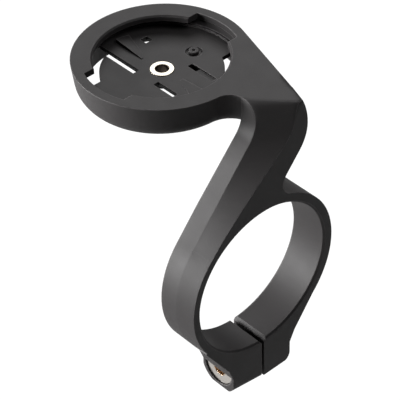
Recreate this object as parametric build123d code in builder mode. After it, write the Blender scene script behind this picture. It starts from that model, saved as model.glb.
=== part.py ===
from build123d import *
import math
import os

os.makedirs("parts", exist_ok=True)

# Millimetres. X runs along the handlebar, Z is up, and the clamp bore is centred on the origin.

# Clamp ring round the handlebar
bar_dia = 31.8
clamp_width = 8.6
ring_wall = 2.1
ring_bevel_fall = 0.3
bore_rim_chamfer = 0.4

# Split in the ring and its two lugs
gap_width = 0.7
gap_y = -0.3
gap_mouth = 1.3
lug_boss_wall = 0.85
lug_left_y = -8.2
lug_right_y = 7.0
lug_shoulder_left = (-9.2, -18.6)
lug_shoulder_right = (8.3, -18.8)
lug_flare_left = 34.0
lug_flare_right = 43.0
lug_corner_left = 0.5
lug_corner_right = 2.0
lug_round_at_head = 2.8
lug_round_at_split = 1.0
lug_round_right = 0.3

# Clamp bolt, an M4 socket cap screw across the split
bolt_dia = 4.0
bolt_length = 10.0
bolt_z = -21.4
bolt_head_dia = 7.0
bolt_head_height = 4.0
bolt_hex = 3.0
bolt_hex_depth = 2.2
bolt_hole_clearance = 0.25
bolt_head_clearance = 0.2
bolt_running_clearance = 0.04
bolt_head_inset = 0.3

# Threaded bush in the far lug
bush_dia = 5.6
bush_length = 5.6
bush_inset = 0.2
bush_fit = 0.01

# Arm that rises from the ring to the head
arm_angle = 49.5
arm_depth = 8.3
arm_fold = 6.0
arm_heel = 8.0
web_fillet = 3.2
arm_narrowing = 0.5
bevel_edge_x = -0.3
bevel_fall = 5.6
bevel_sections = 14
fold_height = 3.4
fold_ridge_run = 3.0
fold_near_run = 0.9
fold_turn = math.radians(74)
fold_sections = 6
heel_run = 5.5
heel_setback = 1.9
heel_drop = 5.7
heel_sections = 4

# Head, a round cup that holds the device
head_x = -23.5
head_y = 0.8
head_top = 36.5
head_dia = 33.6
head_height = 7.7
head_draft = 0.9
head_foot_round = 4.1
head_edge_round = 0.7

# Neck between the head and the arm
neck_front_y = 2.4
neck_arc = 3.5
neck_arc_lead = 0.1
neck_back = (0.2, 11.0)

# Quarter-turn socket
socket_lip_dia = 25.5
socket_notch_dia = 29.8
socket_cavity_dia = 30.2
socket_notch_width = 11.0
socket_depth = 3.2
socket_lip_height = 1.3
socket_lip_bevel = 0.3
ledge_width = 0.5
ledge_height = 0.35
floor_thickness = 0.85
pocket_dia = 29.2

# Spring tongues in the socket floor, each freed by a slot and carrying a detent bump
tongue_slot_y = 4.0
tongue_slot_width = 1.4
tongue_slot_in = 2.7
tongue_slot_out = 11.6
tongue_arc_in = 11.6
tongue_arc_out = pocket_dia / 2
tongue_arc_end_x = 5.0
blind_groove_in = 2.6
blind_groove_out = 9.2
blind_groove_y = 4.6
blind_groove_width = 1.2
blind_groove_depth = 0.35
blind_hole_length = 2.0
blind_hole_depth = 2.4
blind_hole_pad_dia = 5.0
relief_slot_y = 3.7
relief_slot_in = 2.5
relief_slot_out = 7.8
relief_slot_width = 1.2
eyelet_x = 9.1
eyelet_y = 4.1
eyelet_size = 1.6
bump_height = 0.9
bump_in = 5.0
bump_out = 12.4
bump_face = 0.65
bump_toe_back = 0.3
bump_heel_back = 2.6
bump_fall_in = 0.1
bump_fall_back = 0.2
nub_x = 0.0
nub_y = 7.9
dimple_dia = 3.2
dimple_depth = 0.35
nub_dia = 1.9
nub_height = 0.4
nub_hole_dia = 0.7

# Threaded insert in the middle of the socket
insert_dia = 4.6
insert_thread_dia = 2.5
insert_proud = 0.15
insert_boss_wall = 1.1
insert_drop = 2.0
insert_fit = 0.01

past = 1.0
fit_margin = 0.001
half_width = clamp_width / 2
bore_radius = bar_dia / 2
ring_radius = bore_radius + ring_wall
head_radius = head_dia / 2
head_foot = head_top - head_height
socket_floor = head_top - socket_depth
pocket_roof = socket_floor - floor_thickness
insert_foot = socket_floor - insert_drop
tongue_slot_edge_y = tongue_slot_y - tongue_slot_width / 2
bolt_head_back = lug_left_y + bolt_head_inset + bolt_head_height
bush_start = lug_right_y - bush_inset - bush_length
lug_floor = bolt_z - bolt_head_dia / 2 - bolt_head_clearance - lug_boss_wall
lug_radius = bolt_z - lug_floor
slot_cut = socket_floor - head_foot + past
bevel_reach = 3 * clamp_width
bevel_foot_fall = ring_bevel_fall / math.sin(math.radians(arm_angle))
bevel_overlap = 2.0
bend_overrun = 0.4
rise = math.radians(arm_angle)


def arm_front(z):
    """Y of the arm's straight front face, which leaves the ring as a tangent, at height z."""
    tangent_y = -ring_radius * math.sin(rise)
    tangent_z = ring_radius * math.cos(rise)
    return tangent_y + (z - tangent_z) / math.tan(rise)


def on_ring(angle):
    """Point of the ring's outside at an angle from +Y, as Y and Z."""
    turn = math.radians(angle)
    return ring_radius * math.cos(turn), ring_radius * math.sin(turn)


arm_foot = ring_radius * math.cos(rise)
arm_run = arm_depth / math.sin(rise)
climb = head_top - arm_foot
back_x, back_y = neck_back


fold_z = arm_foot + (neck_front_y - arm_front(arm_foot)) * math.tan(rise)
fold_reach = arm_fold * math.tan((math.pi / 2 - rise) / 2)
fold_end = fold_z + fold_reach


def front_y(z):
    """Y of the front at height z: up the arm's slope, round the fold, then up the neck."""
    if z >= fold_end:
        return neck_front_y
    if z <= fold_z - fold_reach * math.sin(rise):
        return arm_front(z)
    return neck_front_y - arm_fold + math.sqrt(arm_fold**2 - (z - fold_end) ** 2)


# Outline of the neck: straight from the back corner to the head as a tangent, and in front a
# hollow arc from the head to the arm
reach = math.hypot(back_x - head_x, back_y - head_y)
bearing = math.atan2(back_y - head_y, back_x - head_x) + math.acos(head_radius / reach)
tangent_point = (head_x + head_radius * math.cos(bearing), head_y + head_radius * math.sin(bearing))
arc_y = neck_front_y + neck_arc_lead - neck_arc
arc_x = head_x + math.sqrt(head_radius**2 - (arc_y - head_y) ** 2) + neck_arc
arc_foot = (arc_x - neck_arc, arc_y)
arc_middle = (arc_x - neck_arc * math.sqrt(0.5), arc_y + neck_arc * math.sqrt(0.5))
arc_tip = (arc_x, arc_y + neck_arc)
neck_inner = (arc_x, (arc_y + back_y) / 2)

# Detent bump, steep in front and highest at its outer end, that springs into the device's foot
with BuildPart() as detent_bump:
    with BuildSketch(Plane.XY):
        with BuildLine():
            Polyline(
                (-bump_out, -bump_face),
                (-bump_in, -bump_face),
                (-bump_in, bump_toe_back),
                (-bump_out, bump_heel_back),
                close=True,
            )
        make_face()
    extrude(amount=bump_height)
    ridge_end = (-bump_out, -bump_face, bump_height)
    split(bisect_by=Plane(ridge_end, z_dir=(bump_fall_in, bump_fall_back, 1)), keep=Keep.BOTTOM)

# Bevel that takes the near front edge off the arm, wider towards the top, where it bends over
# like part of an ellipse and runs out through the top face
bend_foot = head_top - fold_height
turns = [fold_turn * step / fold_sections for step in range(fold_sections + 1)]
straight_step = (bend_foot - arm_foot) / bevel_sections
stations = [(arm_foot + straight_step * step, 0) for step in range(bevel_sections)]
stations += [(bend_foot + fold_height * math.sin(turn), 1 - math.cos(turn)) for turn in turns]
bend_end, bend_share = stations[-1]
stations.append((bend_end + bend_overrun, bend_share + bend_overrun * math.tan(fold_turn) / fold_height))

with BuildPart() as arm_bevel:
    for z, bend in stations:
        share = (z - arm_foot) / climb
        fall = bevel_foot_fall + (bevel_fall - bevel_foot_fall) * (1 - math.cos(math.pi * share)) / 2
        ridge_x = bevel_edge_x - fold_ridge_run * bend
        slope = (fall + fold_near_run * bend) / (half_width - ridge_x)
        with BuildSketch(Plane.XY.offset(z)):
            with BuildLine():
                Polyline(
                    (ridge_x, front_y(z)),
                    (half_width + past, front_y(z) + slope * (half_width + past - ridge_x)),
                    (half_width + past, front_y(z) - bevel_reach),
                    (ridge_x, front_y(z) - bevel_reach),
                    close=True,
                )
            make_face()
    loft()

# The same bevel round the front of the ring
with BuildPart() as ring_bevel:
    with BuildSketch(Plane.XY.rotated((arm_angle - 90 - bevel_overlap, 0, 0))):
        with BuildLine():
            Polyline(
                (bevel_edge_x, -ring_radius),
                (half_width, ring_bevel_fall - ring_radius),
                (half_width + past, ring_bevel_fall - ring_radius),
                (half_width + past, -ring_radius - past),
                (bevel_edge_x, -ring_radius - past),
                close=True,
            )
        make_face()
    revolve(axis=Axis.X, revolution_arc=bevel_overlap + 90 - arm_angle + lug_flare_left)

# Corner that comes off the near edge of the arm's back, nothing at the heel and most at the top
with BuildPart() as heel_corner:
    for step in range(heel_sections + 1):
        share = step / heel_sections
        z = head_top - heel_drop + (heel_drop + past) * share
        with BuildSketch(Plane.XY.offset(z)):
            with BuildLine():
                Polyline(
                    (half_width - heel_run * share**2 - past * heel_run / heel_setback, back_y + past),
                    (half_width + past, back_y - heel_setback * share**2 - past * heel_setback / heel_run),
                    (half_width + past, back_y + past),
                    close=True,
                )
            make_face()
    loft()

# Roundings of the lugs' near lower edges, the left one wider towards the bolt head
lug_left_run = ((lug_left_y, lug_round_at_head), (gap_y, lug_round_at_split))
lug_right_run = ((gap_y, lug_round_right), (lug_right_y, lug_round_right))
lug_roundings = []
for run in (lug_left_run, lug_right_run):
    with BuildPart() as lug_rounding:
        for y, edge_round in run:
            round_x, round_z = half_width - edge_round, lug_floor + edge_round
            arc_share = edge_round * math.sqrt(0.5)
            with BuildSketch(Plane.XZ.offset(-y)):
                with BuildLine():
                    ThreePointArc(
                        (round_x, lug_floor),
                        (round_x + arc_share, round_z - arc_share),
                        (half_width, round_z),
                    )
                    Polyline(
                        (half_width, round_z),
                        (half_width + past, round_z),
                        (half_width + past, lug_floor - past),
                        (round_x, lug_floor - past),
                        (round_x, lug_floor),
                    )
                make_face()
        loft()
    lug_roundings.append(lug_rounding)

# Neck that joins the head to the arm, straight behind and hollowed in front, with the head's draft
# and its rounded foot
with BuildPart() as neck:
    with BuildSketch(Plane.XY.offset(head_top)):
        with BuildLine():
            Polyline(arc_foot, (head_x, head_y), tangent_point, neck_back, neck_inner, arc_tip)
            ThreePointArc(arc_tip, arc_middle, arc_foot)
        make_face()
    extrude(amount=-head_height, taper=math.degrees(math.atan(head_draft / head_height)))
    foot_edges = neck.edges().group_by(Axis.Z)[0]
    front_edge = foot_edges.filter_by(GeomType.LINE, reverse=True)[0]
    fillet([front_edge, foot_edges.sort_by(Axis.Y)[-1]], head_foot_round)

with BuildPart() as mount_body:
    # Side of the ring, arm and lugs in one outline
    with BuildSketch(Plane.YZ) as side:
        with BuildLine():
            Polyline(
                (arm_front(arm_foot), arm_foot),
                (neck_front_y, fold_z),
                (neck_front_y, head_top),
                (back_y, head_top),
                (back_y, arm_foot + (back_y - arm_run - arm_front(arm_foot)) * math.tan(rise)),
                (arm_front(arm_foot) + arm_run, arm_foot),
                close=True,
            )
        make_face()
        fillet(side.vertices().sort_by(Axis.X)[-2:].sort_by(Axis.Y)[0], arm_heel)
        neck_line = side.vertices().filter_by(lambda v: abs(v.X - neck_front_y) < fit_margin)
        fillet(neck_line.sort_by(Axis.Y)[0], arm_fold)
        Circle(ring_radius)
        ring_line = side.vertices().filter_by(lambda v: abs(math.hypot(v.X, v.Y) - ring_radius) < fit_margin)
        fillet(ring_line.sort_by(Axis.X)[-1], web_fillet)
        with BuildLine():
            Polyline(
                on_ring(180 + lug_flare_left),
                lug_shoulder_left,
                (lug_left_y, bolt_z),
                (lug_left_y, lug_floor),
                (lug_right_y, lug_floor),
                (lug_right_y, bolt_z),
                lug_shoulder_right,
                on_ring(-lug_flare_right),
                close=True,
            )
        make_face()
        fillet(side.vertices().sort_by(Axis.Y)[:2].sort_by(Axis.X)[-1], lug_corner_right)
        fillet(side.vertices().sort_by(Axis.Y)[:2].sort_by(Axis.X)[0], lug_corner_left)
    extrude(amount=half_width, both=True)

    # Far side of the lug with the bolt head, round about the bolt
    with BuildSketch(Plane.XZ):
        with Locations((-half_width, lug_floor)):
            Rectangle(clamp_width, 2 * lug_radius)
        with Locations((0, bolt_z)):
            Circle(lug_radius, mode=Mode.SUBTRACT)
    extrude(amount=bore_radius, mode=Mode.SUBTRACT)

    # Far side of the arm, which leans in towards the top
    with BuildSketch(Plane.XZ):
        with BuildLine():
            Polyline(
                (-half_width, ring_radius),
                (-half_width + arm_narrowing, head_top),
                (-half_width - past, head_top),
                (-half_width - past, ring_radius),
                close=True,
            )
        make_face()
    extrude(amount=bore_radius, both=True, mode=Mode.SUBTRACT)

    # Round head that narrows downwards to a rounded foot
    with BuildSketch(Plane.XZ.offset(-head_y)) as head_half:
        with BuildLine():
            Polyline(
                (head_x, head_foot),
                (head_x + head_radius - head_draft, head_foot),
                (head_x + head_radius, head_top),
                (head_x, head_top),
                close=True,
            )
        make_face()
        rim = head_half.vertices().sort_by(Axis.X)[2:].sort_by(Axis.Y)
        fillet(rim[0], head_foot_round)
        fillet(rim[1], head_edge_round)
    revolve(axis=Axis((head_x, head_y, 0), (0, 0, 1)))

    add(neck.part)
    for cutter in (arm_bevel, ring_bevel, heel_corner, *lug_roundings):
        add(cutter.part, mode=Mode.SUBTRACT)

    # Bore for the handlebar with bevelled rims, the split across the lugs and its bevelled mouth
    with BuildSketch(Plane.XY):
        with BuildLine():
            Polyline(
                (-half_width - past, 0),
                (-half_width - past, bore_radius + bore_rim_chamfer + past),
                (-half_width + bore_rim_chamfer, bore_radius),
                (half_width - bore_rim_chamfer, bore_radius),
                (half_width + past, bore_radius + bore_rim_chamfer + past),
                (half_width + past, 0),
                close=True,
            )
        make_face()
    revolve(axis=Axis.X, mode=Mode.SUBTRACT)
    with BuildSketch(Plane.YZ):
        with Locations((gap_y, (lug_floor - bore_radius) / 2)):
            Rectangle(gap_width, bore_radius - lug_floor)
        with BuildLine():
            Polyline(
                (gap_y - gap_width / 2 - gap_mouth, 1 - bore_radius),
                (gap_y + gap_width / 2 + gap_mouth, 1 - bore_radius),
                (gap_y, -bore_radius - gap_mouth),
                close=True,
            )
        make_face()
    extrude(amount=half_width + past, both=True, mode=Mode.SUBTRACT)

    # Bolt hole with its counterbore, and the blind hole for the bush
    bolt_line = Plane((0, lug_left_y, bolt_z), x_dir=(1, 0, 0), z_dir=(0, 1, 0))
    with BuildSketch(bolt_line):
        Circle(bolt_dia / 2 + bolt_hole_clearance)
    extrude(amount=bush_start - lug_left_y, mode=Mode.SUBTRACT)
    with BuildSketch(bolt_line):
        Circle(bolt_head_dia / 2 + bolt_head_clearance)
    extrude(amount=bolt_head_back - lug_left_y, mode=Mode.SUBTRACT)
    with BuildSketch(bolt_line.offset(bush_start - lug_left_y)):
        Circle(bush_dia / 2 + bush_fit)
    extrude(amount=lug_right_y - bush_start, mode=Mode.SUBTRACT)

    # Socket: a lip, a wider cavity under it and a ledge round the floor, with two entry notches
    with BuildSketch(Plane.XZ.offset(-head_y)):
        with BuildLine():
            lip_r, cavity_r = socket_lip_dia / 2, socket_cavity_dia / 2
            lip_foot = head_top - socket_lip_height
            Polyline(
                (head_x, socket_floor),
                (head_x + cavity_r - ledge_width, socket_floor),
                (head_x + cavity_r - ledge_width, socket_floor + ledge_height),
                (head_x + cavity_r, socket_floor + ledge_height),
                (head_x + cavity_r, lip_foot),
                (head_x + lip_r, lip_foot),
                (head_x + lip_r, head_top - socket_lip_bevel),
                (head_x + lip_r + socket_lip_bevel + past, head_top + past),
                (head_x, head_top + past),
                close=True,
            )
        make_face()
    revolve(axis=Axis((head_x, head_y, 0), (0, 0, 1)), mode=Mode.SUBTRACT)
    with BuildSketch(Plane((head_x, head_y, head_top + past))):
        Circle(socket_notch_dia / 2)
        Rectangle(socket_notch_width, socket_notch_dia, mode=Mode.INTERSECT)
    extrude(amount=-socket_lip_height - 2 * past, mode=Mode.SUBTRACT)

    # Pocket under the floor, with a short boss for the threaded insert and a pad below a blind hole
    with BuildSketch(Plane((head_x, head_y, head_foot))):
        Circle(pocket_dia / 2)
        with Locations((blind_groove_in + blind_hole_length / 2, blind_groove_y)):
            Circle(blind_hole_pad_dia / 2, mode=Mode.SUBTRACT)
    extrude(amount=pocket_roof - head_foot, mode=Mode.SUBTRACT)
    with BuildSketch(Plane((head_x, head_y, insert_foot))):
        Circle(insert_dia / 2 + insert_boss_wall)
    extrude(amount=insert_drop)
    with BuildSketch(Plane((head_x, head_y, insert_foot))):
        Circle(insert_dia / 2 + insert_fit)
    extrude(amount=insert_drop, mode=Mode.SUBTRACT)

    # Curved slot and detent bump on each side of the floor, the same after half a turn
    for turn in (0, 180):
        with BuildSketch(Plane((head_x, head_y, socket_floor)).rotated((0, 0, turn))):
            Circle(tongue_arc_out)
            Circle(tongue_arc_in, mode=Mode.SUBTRACT)
            with BuildLine():
                Polyline(
                    (-tongue_arc_end_x, -tongue_arc_out),
                    (-tongue_arc_end_x, -tongue_slot_edge_y),
                    (-tongue_arc_out, -tongue_slot_edge_y),
                    (-tongue_arc_out, -tongue_arc_out),
                    close=True,
                )
            make_face(mode=Mode.INTERSECT)
        extrude(amount=-slot_cut, mode=Mode.SUBTRACT)
        add(detent_bump.part.located(Location((head_x, head_y, socket_floor), (0, 0, turn))))

    # Straight slots and a square eyelet through the floor, a blind hole and the groove beside it
    with BuildSketch(Plane((head_x, head_y, socket_floor))):
        with Locations((-(tongue_slot_in + tongue_slot_out) / 2, -tongue_slot_y)):
            Rectangle(tongue_slot_out - tongue_slot_in, tongue_slot_width)
        with Locations(((relief_slot_in + relief_slot_out) / 2, -relief_slot_y)):
            Rectangle(relief_slot_out - relief_slot_in, relief_slot_width)
        with Locations((-eyelet_x, eyelet_y)):
            Rectangle(eyelet_size, eyelet_size)
    extrude(amount=-slot_cut, mode=Mode.SUBTRACT)
    with BuildSketch(Plane((head_x, head_y, socket_floor))):
        with Locations((blind_groove_in + blind_hole_length / 2, blind_groove_y)):
            Rectangle(blind_hole_length, blind_groove_width)
    extrude(amount=-blind_hole_depth, mode=Mode.SUBTRACT)
    with BuildSketch(Plane((head_x, head_y, socket_floor))):
        with Locations(((blind_groove_in + blind_groove_out) / 2, blind_groove_y)):
            Rectangle(blind_groove_out - blind_groove_in, blind_groove_width)
    extrude(amount=-blind_groove_depth, mode=Mode.SUBTRACT)

    # Moulding nub in its dimple
    with BuildSketch(Plane((head_x + nub_x, head_y + nub_y, socket_floor))):
        Circle(dimple_dia / 2)
        Circle(nub_dia / 2, mode=Mode.SUBTRACT)
    extrude(amount=-dimple_depth, mode=Mode.SUBTRACT)
    with BuildSketch(Plane((head_x + nub_x, head_y + nub_y, socket_floor + nub_height))):
        Circle(nub_dia / 2)
    extrude(amount=-nub_height - dimple_depth)
    with BuildSketch(Plane((head_x + nub_x, head_y + nub_y, socket_floor + nub_height))):
        Circle(nub_hole_dia / 2)
    extrude(amount=-nub_height, mode=Mode.SUBTRACT)
mount_body.part.label = "mount_body"

# Metal insert moulded into the middle of the socket
with BuildPart() as threaded_insert:
    with BuildSketch(Plane((head_x, head_y, insert_foot))):
        Circle(insert_dia / 2)
        Circle(insert_thread_dia / 2, mode=Mode.SUBTRACT)
    extrude(amount=insert_drop + insert_proud)
threaded_insert.part.label = "threaded_insert"

# Brass bush pressed into the far lug
with BuildPart() as clamp_bush:
    with BuildSketch(bolt_line.offset(bush_start - lug_left_y)):
        Circle(bush_dia / 2)
        Circle(bolt_dia / 2 + bolt_running_clearance, mode=Mode.SUBTRACT)
    extrude(amount=bush_length)
clamp_bush.part.label = "clamp_bush"

# Socket cap screw that closes the ring
with BuildPart() as clamp_bolt:
    with BuildSketch(bolt_line.offset(bolt_head_inset)):
        Circle(bolt_head_dia / 2)
    extrude(amount=bolt_head_height)
    with BuildSketch(bolt_line.offset(bolt_head_inset + bolt_head_height)):
        Circle(bolt_dia / 2)
    extrude(amount=bolt_length)
    with BuildSketch(bolt_line.offset(bolt_head_inset)):
        RegularPolygon(bolt_hex / 2, 6, major_radius=False)
    extrude(amount=bolt_hex_depth, mode=Mode.SUBTRACT)
clamp_bolt.part.label = "clamp_bolt"

for piece in (mount_body, threaded_insert, clamp_bush, clamp_bolt):
    export_step(piece.part, f"parts/{piece.part.label}.step")
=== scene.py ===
import math

import bmesh
import bpy
from mathutils import Matrix, Vector


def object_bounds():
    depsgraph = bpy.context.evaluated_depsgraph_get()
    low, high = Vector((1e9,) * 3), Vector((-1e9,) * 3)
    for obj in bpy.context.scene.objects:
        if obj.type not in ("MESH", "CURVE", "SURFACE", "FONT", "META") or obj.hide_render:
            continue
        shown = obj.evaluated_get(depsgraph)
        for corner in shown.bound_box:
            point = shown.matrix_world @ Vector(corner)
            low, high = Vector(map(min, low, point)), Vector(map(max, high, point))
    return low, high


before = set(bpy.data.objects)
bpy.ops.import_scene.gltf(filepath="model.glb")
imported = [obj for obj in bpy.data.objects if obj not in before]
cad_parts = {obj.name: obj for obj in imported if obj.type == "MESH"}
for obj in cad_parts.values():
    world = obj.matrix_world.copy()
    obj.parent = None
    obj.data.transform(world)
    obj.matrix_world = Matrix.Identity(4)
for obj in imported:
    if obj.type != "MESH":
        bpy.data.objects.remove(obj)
cad_box = [list(corner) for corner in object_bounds()]

# The mount's body is one injection moulding in dark grey nylon filled with short glass fibre: the
# split ring, the arm and the cup. It comes out of the tool matt and slightly grainy, with its
# edges softened. Its edges are painted paler: partly rubbing, partly painted highlight.
MM = 0.001
PLASTIC_GREY = (0.036, 0.0335, 0.034, 1.0)
# Paler edge colour: rubbing, and painted highlight where light catches the rounded edges.
PLASTIC_RUBBED_AND_HIGHLIT = (0.24, 0.228, 0.23, 1.0)
# Painted shade for the upright walls of the slots under the socket's floor.
PLASTIC_PAINTED_SHADE = (0.006, 0.005, 0.005, 1.0)
PLASTIC_ROUGHNESS = (0.50, 0.60)
PLASTIC_SPECULAR = 0.3
PLASTIC_GRAIN_SCALE = 4200.0
PLASTIC_MOTTLE_SCALE = 300.0
PLASTIC_BUMP = 0.35
PLASTIC_BUMP_DEPTH = 0.06 * MM
GRAIN_DETAIL = 3.0
GRAIN_ROUGHNESS = 0.6
MOTTLE_DETAIL = 4.0
WEAR_HIGHLIGHT_AMOUNT = 0.9
WEAR_HIGHLIGHT_BREAK_UP_SCALE = 900.0
WEAR_HIGHLIGHT_BREAK_UP_DETAIL = 5.0
WEAR_HIGHLIGHT_REACH = 0.35 * MM
WEAR_HIGHLIGHT_SAMPLES = 6
WEAR_HIGHLIGHT_NONE, WEAR_HIGHLIGHT_FULL = 0.995, 0.85
CUP_CENTRE = (-23.5 * MM, 0.8 * MM, 0.0)
UPRIGHT_LINE = (1.0, 1.0, 0.0)
SLOT_REACH = 14.55 * MM
FLOOR_TOP = 33.25 * MM
WALL_TILT = 0.5
FOLD_X = (-4.5 * MM, -3.0 * MM)
FOLD_Z = (32.0 * MM, 35.0 * MM)
FOLD_ROUND = (0.25 * MM, 1.6 * MM)
FOLD_SAMPLES = 8
BODY_EDGE_ROUND = 0.28 * MM
BODY_EDGE_STEPS = 3
SHARP_EDGE = math.radians(28)
SHADED_EDGE = math.radians(24)
SEAM_GAP = 0.0005 * MM
RIDGE_X = -0.3 * MM
RIDGE_REACH = 0.03 * MM
RIDGE_ANGLE = math.radians(1.5)


def group_socket(group, name, kind, in_out):
    """Adds a named socket to a node group."""
    group.interface.new_socket(name=name, in_out=in_out, socket_type=kind)


def new_group(name, inputs, outputs):
    """An empty shader group with named sockets, its node and link lists and its two end nodes."""
    group = bpy.data.node_groups.new(name, "ShaderNodeTree")
    for socket, kind in inputs.items():
        group_socket(group, socket, kind, "INPUT")
    for socket in outputs:
        group_socket(group, socket, "NodeSocketFloat", "OUTPUT")
    nodes = group.nodes
    return group, nodes, group.links, nodes.new("NodeGroupInput"), nodes.new("NodeGroupOutput")


def noise_on_piece(nodes, links, scale, detail):
    """Noise that is fixed to the piece, with its scale from a socket."""
    place, noise = nodes.new("ShaderNodeTexCoord"), nodes.new("ShaderNodeTexNoise")
    noise.inputs["Detail"].default_value = detail
    links.new(place.outputs["Object"], noise.inputs["Vector"])
    links.new(scale, noise.inputs["Scale"])
    return noise


def maths(nodes, links, operation, first, second):
    """Works out one sum of a value and another value or a plain number."""
    step = nodes.new("ShaderNodeMath")
    step.operation = operation
    links.new(first, step.inputs[0])
    if isinstance(second, float):
        step.inputs[1].default_value = second
    else:
        links.new(second, step.inputs[1])
    return step.outputs["Value"]


def ramp(nodes, links, value, in_range=None, out_range=None):
    """Maps a value from one range to another, each 0 to 1 unless it is given."""
    step = nodes.new("ShaderNodeMapRange")
    for side, limits in (("From", in_range), ("To", out_range)):
        for end, limit in zip(("Min", "Max"), limits or ()):
            step.inputs[f"{side} {end}"].default_value = limit
    links.new(value, step.inputs["Value"])
    return step.outputs["Result"]


def moulded_grain():
    """Fine grain of a spark-eroded tool face: a height for a bump and a mottling mask."""
    scales = {"Grain Scale": "NodeSocketFloat", "Mottle Scale": "NodeSocketFloat"}
    group, nodes, links, inputs, outputs = new_group("moulded_grain", scales, ("Height", "Mottle"))
    grain = noise_on_piece(nodes, links, inputs.outputs["Grain Scale"], GRAIN_DETAIL)
    grain.inputs["Roughness"].default_value = GRAIN_ROUGHNESS
    mottle = noise_on_piece(nodes, links, inputs.outputs["Mottle Scale"], MOTTLE_DETAIL)
    links.new(grain.outputs["Fac"], outputs.inputs["Height"])
    links.new(mottle.outputs["Fac"], outputs.inputs["Mottle"])
    return group


def edge_wear_and_highlight():
    """Mask of the edges, where a rounded normal leaves the true one, broken up by noise."""
    values = {"Amount": "NodeSocketFloat", "Break Up Scale": "NodeSocketFloat"}
    group, nodes, links, inputs, outputs = new_group("edge_wear_and_highlight", values, ("Mask",))
    shape, rounded = nodes.new("ShaderNodeNewGeometry"), nodes.new("ShaderNodeBevel")
    rounded.samples = WEAR_HIGHLIGHT_SAMPLES
    rounded.inputs["Radius"].default_value = WEAR_HIGHLIGHT_REACH
    turned = nodes.new("ShaderNodeVectorMath")
    turned.operation = "DOT_PRODUCT"
    links.new(rounded.outputs["Normal"], turned.inputs[0])
    links.new(shape.outputs["Normal"], turned.inputs[1])
    edges = ramp(nodes, links, turned.outputs["Value"], (WEAR_HIGHLIGHT_NONE, WEAR_HIGHLIGHT_FULL))
    scale = inputs.outputs["Break Up Scale"]
    noise = noise_on_piece(nodes, links, scale, WEAR_HIGHLIGHT_BREAK_UP_DETAIL)
    broken = maths(nodes, links, "MULTIPLY", edges, noise.outputs["Fac"])
    mask = maths(nodes, links, "MULTIPLY", broken, inputs.outputs["Amount"])
    links.new(mask, outputs.inputs["Mask"])
    return group


def recess_mask():
    """Mask of what lies within a radius of a point, its distance weighed along each axis."""
    values = {
        "Centre": "NodeSocketVector",
        "Across": "NodeSocketVector",
        "Radius": "NodeSocketFloat",
    }
    group, nodes, links, inputs, outputs = new_group("recess_mask", values, ("Mask",))
    place = nodes.new("ShaderNodeTexCoord")
    steps = []
    for operation in ("SUBTRACT", "MULTIPLY", "LENGTH"):
        step = nodes.new("ShaderNodeVectorMath")
        step.operation = operation
        steps.append(step)
    moved, flat, reach = steps
    links.new(place.outputs["Object"], moved.inputs[0])
    links.new(inputs.outputs["Centre"], moved.inputs[1])
    links.new(moved.outputs["Vector"], flat.inputs[0])
    links.new(inputs.outputs["Across"], flat.inputs[1])
    links.new(flat.outputs["Vector"], reach.inputs[0])
    inside = maths(nodes, links, "LESS_THAN", reach.outputs["Value"], inputs.outputs["Radius"])
    links.new(inside, outputs.inputs["Mask"])
    return group


def placed_group(nodes, group, **values):
    """Puts a shader group into a material with its own values."""
    node = nodes.new("ShaderNodeGroup")
    node.node_tree = group
    for name, value in values.items():
        node.inputs[name.replace("_", " ")].default_value = value
    return node


def new_material(name):
    """An empty material with a Principled BSDF, and its node and link lists."""
    material = bpy.data.materials.new(name)
    material.use_nodes = True
    nodes, links = material.node_tree.nodes, material.node_tree.links
    return material, nodes, links, nodes["Principled BSDF"]


def blend_colours(nodes, links, mask, plain, changed):
    """Mixes a colour, fixed or from a node, with a fixed one by a mask."""
    mix = nodes.new("ShaderNodeMix")
    mix.data_type = "RGBA"
    colours = [socket for socket in mix.inputs if socket.type == "RGBA"]
    if isinstance(plain, tuple):
        colours[0].default_value = plain
    else:
        links.new(plain, colours[0])
    colours[1].default_value = changed
    links.new(mask, mix.inputs["Factor"])
    return next(socket for socket in mix.outputs if socket.type == "RGBA")


def grain_bump(nodes, links, shader, height, strength, depth):
    """Gives a shader the fine relief of its grain."""
    bump = nodes.new("ShaderNodeBump")
    bump.inputs["Strength"].default_value = strength
    bump.inputs["Distance"].default_value = depth
    links.new(height, bump.inputs["Height"])
    links.new(bump.outputs["Normal"], shader.inputs["Normal"])
    return bump


grain_group, wear_and_highlight_group, recess_group = moulded_grain(), edge_wear_and_highlight(), recess_mask()

plastic, nodes, links, shader = new_material("dark_nylon")
grain = placed_group(
    nodes, grain_group, Grain_Scale=PLASTIC_GRAIN_SCALE, Mottle_Scale=PLASTIC_MOTTLE_SCALE
)
# Painted highlight and rubbing: the edges are coloured paler, standing in for light catching them
# as well as for wear.
wear_and_highlight = placed_group(nodes, wear_and_highlight_group, Amount=WEAR_HIGHLIGHT_AMOUNT, Break_Up_Scale=WEAR_HIGHLIGHT_BREAK_UP_SCALE)
worn_and_highlit = blend_colours(nodes, links, wear_and_highlight.outputs["Mask"], PLASTIC_GREY, PLASTIC_RUBBED_AND_HIGHLIT)

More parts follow.
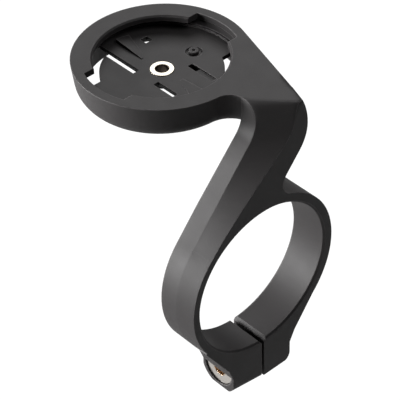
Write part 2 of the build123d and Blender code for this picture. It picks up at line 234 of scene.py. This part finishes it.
# Painted shade: the upright walls of the slots in the socket's floor are coloured near black, as
# the deep shade they lie in.
under_floor = placed_group(
    nodes, recess_group, Centre=CUP_CENTRE, Across=UPRIGHT_LINE, Radius=SLOT_REACH
)
place, split = nodes.new("ShaderNodeTexCoord"), nodes.new("ShaderNodeSeparateXYZ")
facing, upright = nodes.new("ShaderNodeNewGeometry"), nodes.new("ShaderNodeSeparateXYZ")
links.new(place.outputs["Object"], split.inputs["Vector"])
links.new(facing.outputs["True Normal"], upright.inputs["Vector"])
slot_wall_painted_shade = under_floor.outputs["Mask"]
for value, limit in ((split.outputs["Z"], FLOOR_TOP), (upright.outputs["Z"], WALL_TILT)):
    below = maths(nodes, links, "LESS_THAN", value, limit)
    slot_wall_painted_shade = maths(nodes, links, "MULTIPLY", below, slot_wall_painted_shade)
base = blend_colours(nodes, links, slot_wall_painted_shade, worn_and_highlit, PLASTIC_PAINTED_SHADE)
links.new(base, shader.inputs["Base Color"])

rough = ramp(nodes, links, grain.outputs["Mottle"], out_range=PLASTIC_ROUGHNESS)
links.new(rough, shader.inputs["Roughness"])
shader.inputs["Specular IOR Level"].default_value = PLASTIC_SPECULAR
bump = grain_bump(
    nodes, links, shader, grain.outputs["Height"], PLASTIC_BUMP, PLASTIC_BUMP_DEPTH
)

# The near edge rolls over softly where the arm folds into the cup's top.
across_fold = ramp(nodes, links, split.outputs["X"], FOLD_X)
up_fold = ramp(nodes, links, split.outputs["Z"], FOLD_Z)
spread = maths(nodes, links, "MULTIPLY", across_fold, up_fold)
rolled = nodes.new("ShaderNodeBevel")
rolled.samples = FOLD_SAMPLES
links.new(ramp(nodes, links, spread, out_range=FOLD_ROUND), rolled.inputs["Radius"])
links.new(rolled.outputs["Normal"], bump.inputs["Normal"])


def clean_shading():
    """Modifier tree that joins the seams of the CAD faces and keeps their real edges crisp."""
    tree = bpy.data.node_groups.new("clean_shading", "GeometryNodeTree")
    group_socket(tree, "Geometry", "NodeSocketGeometry", "INPUT")
    group_socket(tree, "Geometry", "NodeSocketGeometry", "OUTPUT")
    nodes, links = tree.nodes, tree.links
    joined = nodes.new("GeometryNodeMergeByDistance")
    joined.inputs["Distance"].default_value = SEAM_GAP
    edge_angle = nodes.new("GeometryNodeInputMeshEdgeAngle")
    place, split = nodes.new("GeometryNodeInputPosition"), nodes.new("ShaderNodeSeparateXYZ")
    tests = [
        (edge_angle.outputs["Unsigned Angle"], "GREATER_THAN", SHADED_EDGE),
        (edge_angle.outputs["Unsigned Angle"], "GREATER_THAN", RIDGE_ANGLE),
        (split.outputs["X"], "GREATER_THAN", RIDGE_X - RIDGE_REACH),
        (split.outputs["X"], "LESS_THAN", RIDGE_X + RIDGE_REACH),
    ]
    found = []
    for value, operation, limit in tests:
        test = nodes.new("FunctionNodeCompare")
        test.operation = operation
        test.inputs["B"].default_value = limit
        links.new(value, test.inputs["A"])
        found.append(test.outputs["Result"])
    edge, turned, after, before = found
    crisp = before
    for operation, test in (("AND", after), ("AND", turned), ("OR", edge)):
        both = nodes.new("FunctionNodeBooleanMath")
        both.operation = operation
        links.new(test, both.inputs[0])
        links.new(crisp, both.inputs[1])
        crisp = both.outputs[0]
    shade = nodes.new("GeometryNodeSetMeshNormal")
    shade.mode = "SHARPNESS"
    shade.inputs["Face Sharpness"].default_value = False
    links.new(nodes.new("NodeGroupInput").outputs[0], joined.inputs["Geometry"])
    links.new(place.outputs["Position"], split.inputs["Vector"])
    links.new(joined.outputs["Geometry"], shade.inputs["Mesh"])
    links.new(crisp, shade.inputs["Edge Sharpness"])
    links.new(shade.outputs["Mesh"], nodes.new("NodeGroupOutput").inputs[0])
    return tree


shading_tree = clean_shading()


def finish_node(name, material, edge_round, steps):
    """Gives a CAD node its material and softens its sharp edges."""
    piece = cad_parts[name]
    piece.data.materials.clear()
    piece.data.materials.append(material)
    piece.modifiers.new("clean_shading", "NODES").node_group = shading_tree
    bevel = piece.modifiers.new("soft_edges", "BEVEL")
    bevel.width = edge_round
    bevel.segments = steps
    bevel.limit_method = "ANGLE"
    bevel.angle_limit = SHARP_EDGE
    bevel.harden_normals = True


finish_node("mount_body", plastic, BODY_EDGE_ROUND, BODY_EDGE_STEPS)

# The insert in the middle of the socket is turned from bright metal and moulded into the floor.
# Its rim stands a little proud of the plastic, and its bore carries an M3 thread.
BRIGHT_METAL = (0.74, 0.69, 0.60, 1.0)
METAL_MARKS = (0.48, 0.44, 0.37, 1.0)
METAL_GRAIN_SCALE = 1800.0
METAL_MOTTLE_SCALE = 900.0
METAL_BUMP = 0.2
METAL_BUMP_DEPTH = 0.01 * MM
METAL_EDGE_STEPS = 2
INSERT_ROUGHNESS = 0.3
INSERT_EDGE_ROUND = 0.12 * MM
THREAD_REACH = 1.4 * MM
# Painted shade: the threaded bore of the insert is coloured nearly black.
THREAD_PAINTED_SHADE = (0.10, 0.08, 0.065, 1.0)


def turned_metal(name, colour, marks, roughness, recess=None):
    """Bright metal with faint turning marks, and another colour in a recess where it has one."""
    material, nodes, links, shader = new_material(name)
    grain = placed_group(
        nodes, grain_group, Grain_Scale=METAL_GRAIN_SCALE, Mottle_Scale=METAL_MOTTLE_SCALE
    )
    base = blend_colours(nodes, links, grain.outputs["Mottle"], colour, marks)
    if recess:
        centre, across, reach, shade = recess
        hollow = placed_group(nodes, recess_group, Centre=centre, Across=across, Radius=reach)
        base = blend_colours(nodes, links, hollow.outputs["Mask"], base, shade)
    links.new(base, shader.inputs["Base Color"])
    shader.inputs["Metallic"].default_value = 1.0
    shader.inputs["Roughness"].default_value = roughness
    grain_bump(nodes, links, shader, grain.outputs["Height"], METAL_BUMP, METAL_BUMP_DEPTH)
    return material


# The insert's bore gets its painted shade here.
thread_recess = (CUP_CENTRE, UPRIGHT_LINE, THREAD_REACH, THREAD_PAINTED_SHADE)
insert_metal = turned_metal(
    "insert_metal", BRIGHT_METAL, METAL_MARKS, INSERT_ROUGHNESS, thread_recess
)
finish_node("threaded_insert", insert_metal, INSERT_EDGE_ROUND, METAL_EDGE_STEPS)

# The clamp bolt is an M4 socket cap screw in stainless steel. It goes through the near jaw of
# the ring and screws into a brass bush in the other jaw.
STEEL = (0.92, 0.88, 0.83, 1.0)
STEEL_MARKS = (0.80, 0.75, 0.69, 1.0)
STEEL_ROUGHNESS = 0.22
BOLT_EDGE_ROUND = 0.15 * MM
HEX_FLOOR = (0.0, -6.0 * MM, -21.4 * MM)
HEX_ACROSS = (1.0, 0.25, 1.0)
HEX_REACH = 1.85 * MM
HEX_SHADE = (0.80, 0.65, 0.50, 1.0)
BRASS = (0.72, 0.55, 0.30, 1.0)
BRASS_MARKS = (0.58, 0.43, 0.22, 1.0)
BRASS_ROUGHNESS = 0.35
BUSH_EDGE_ROUND = 0.1 * MM

hex_recess = (HEX_FLOOR, HEX_ACROSS, HEX_REACH, HEX_SHADE)
stainless = turned_metal("stainless_steel", STEEL, STEEL_MARKS, STEEL_ROUGHNESS, hex_recess)
finish_node("clamp_bolt", stainless, BOLT_EDGE_ROUND, METAL_EDGE_STEPS)
brass = turned_metal("bush_brass", BRASS, BRASS_MARKS, BRASS_ROUGHNESS)
finish_node("clamp_bush", brass, BUSH_EDGE_ROUND, METAL_EDGE_STEPS)

# Studio: a white sweep below the part, a strong low lamp at the left, a large weak one behind
# and above, and a small one close overhead that lifts the top faces and the near side.
FLOOR_DROP = 30 * MM
FLOOR_SIZE = 6.0
FLOOR_WHITE = (0.38, 0.38, 0.38, 1.0)
FLOOR_ROUGHNESS = 0.9
FLOOR_GLOW = 1.25
FLOOR_GLOW_SHARE = 0.8
FLOOR_IN_GLOSS = 0.25
AIR_WHITE = (1.0, 1.0, 1.0, 1.0)
AIR_STRENGTH = 0.012
LAMPS = {
    "left_softbox": {"side": (-0.90, -0.94, 0.14), "distance": 0.6, "size": 0.35, "watts": 9.9},
    "back_softbox": {"side": (-0.55, 0.45, 0.75), "distance": 0.7, "size": 0.5, "watts": 2.5},
    "top_softbox": {"side": (0.30, 0.20, 0.93), "distance": 0.20, "size": 0.12, "watts": 0.09},
}

floor_mesh = bpy.data.meshes.new("studio_floor")
sheet = bmesh.new()
bmesh.ops.create_grid(sheet, x_segments=1, y_segments=1, size=FLOOR_SIZE / 2)
bmesh.ops.translate(sheet, vec=(0, 0, cad_box[0][2] - FLOOR_DROP), verts=sheet.verts)
sheet.to_mesh(floor_mesh)
sheet.free()
floor = bpy.data.objects.new("studio_floor", floor_mesh)
bpy.context.scene.collection.objects.link(floor)

paper, nodes, links, shader = new_material("white_paper")
shader.inputs["Base Color"].default_value = FLOOR_WHITE
shader.inputs["Roughness"].default_value = FLOOR_ROUGHNESS
shader.inputs["Specular IOR Level"].default_value = 0.0
glow = nodes.new("ShaderNodeEmission")
glow.inputs["Strength"].default_value = FLOOR_GLOW
path = nodes.new("ShaderNodeLightPath")
seen = maths(nodes, links, "MULTIPLY", path.outputs["Is Glossy Ray"], FLOOR_IN_GLOSS)
for ray in ("Is Camera Ray", "Is Transmission Ray"):
    seen = maths(nodes, links, "MAXIMUM", path.outputs[ray], seen)
mix = nodes.new("ShaderNodeMixShader")
links.new(maths(nodes, links, "MULTIPLY", seen, FLOOR_GLOW_SHARE), mix.inputs["Fac"])
links.new(shader.outputs["BSDF"], mix.inputs[1])
links.new(glow.outputs["Emission"], mix.inputs[2])
links.new(mix.outputs["Shader"], nodes["Material Output"].inputs["Surface"])
floor_mesh.materials.append(paper)

world = bpy.data.worlds.new("studio_air")
bpy.context.scene.world = world
world.use_nodes = True
air = world.node_tree.nodes["Background"]
air.inputs["Color"].default_value = AIR_WHITE
air.inputs["Strength"].default_value = AIR_STRENGTH

for name, lamp in LAMPS.items():
    light = bpy.data.lights.new(name, "AREA")
    light.shape = "SQUARE"
    light.size = lamp["size"]
    light.energy = lamp["watts"]
    holder = bpy.data.objects.new(name, light)
    away = Vector(lamp["side"]).normalized()
    holder.location = away * lamp["distance"]
    holder.rotation_euler = away.to_track_quat("Z", "Y").to_euler()
    bpy.context.scene.collection.objects.link(holder)

# The camera looks down on the mount from the bolt head's side, with the cup beyond the ring,
# through a long lens. Its place and roll lay the outline where it lies in the photograph.
VIEW_AZIMUTH = math.radians(41.21)
VIEW_ELEVATION = math.radians(40.0)
VIEW_ROLL = math.radians(-1.83)
VIEW_DISTANCE = 342.5 * MM
VIEW_RIGHT = 9.06 * MM
VIEW_UP = -12.59 * MM
SENSOR = 36.0
PICTURE_SIDE = 400
PIXELS_PER_MM = 5.309
NEAREST = 0.01

towards = Vector((
    math.cos(VIEW_ELEVATION) * math.cos(VIEW_AZIMUTH),
    -math.cos(VIEW_ELEVATION) * math.sin(VIEW_AZIMUTH),
    math.sin(VIEW_ELEVATION),
))
level_right = Vector((math.sin(VIEW_AZIMUTH), math.cos(VIEW_AZIMUTH), 0.0))
level_up = towards.cross(level_right)
right = math.cos(VIEW_ROLL) * level_right + math.sin(VIEW_ROLL) * level_up
up = math.cos(VIEW_ROLL) * level_up - math.sin(VIEW_ROLL) * level_right
lens = bpy.data.cameras.new("photo_camera")
lens.sensor_width = SENSOR
lens.lens = PIXELS_PER_MM * (VIEW_DISTANCE / MM) * SENSOR / PICTURE_SIDE
lens.clip_start = NEAREST
camera = bpy.data.objects.new("photo_camera", lens)
turned = Matrix((right, up, towards)).transposed().to_4x4()
stand = towards * VIEW_DISTANCE - right * VIEW_RIGHT - up * VIEW_UP
camera.matrix_world = Matrix.Translation(stand) @ turned
bpy.context.scene.collection.objects.link(camera)
bpy.context.scene.camera = camera
bpy.context.scene.view_settings.view_transform = "Standard"
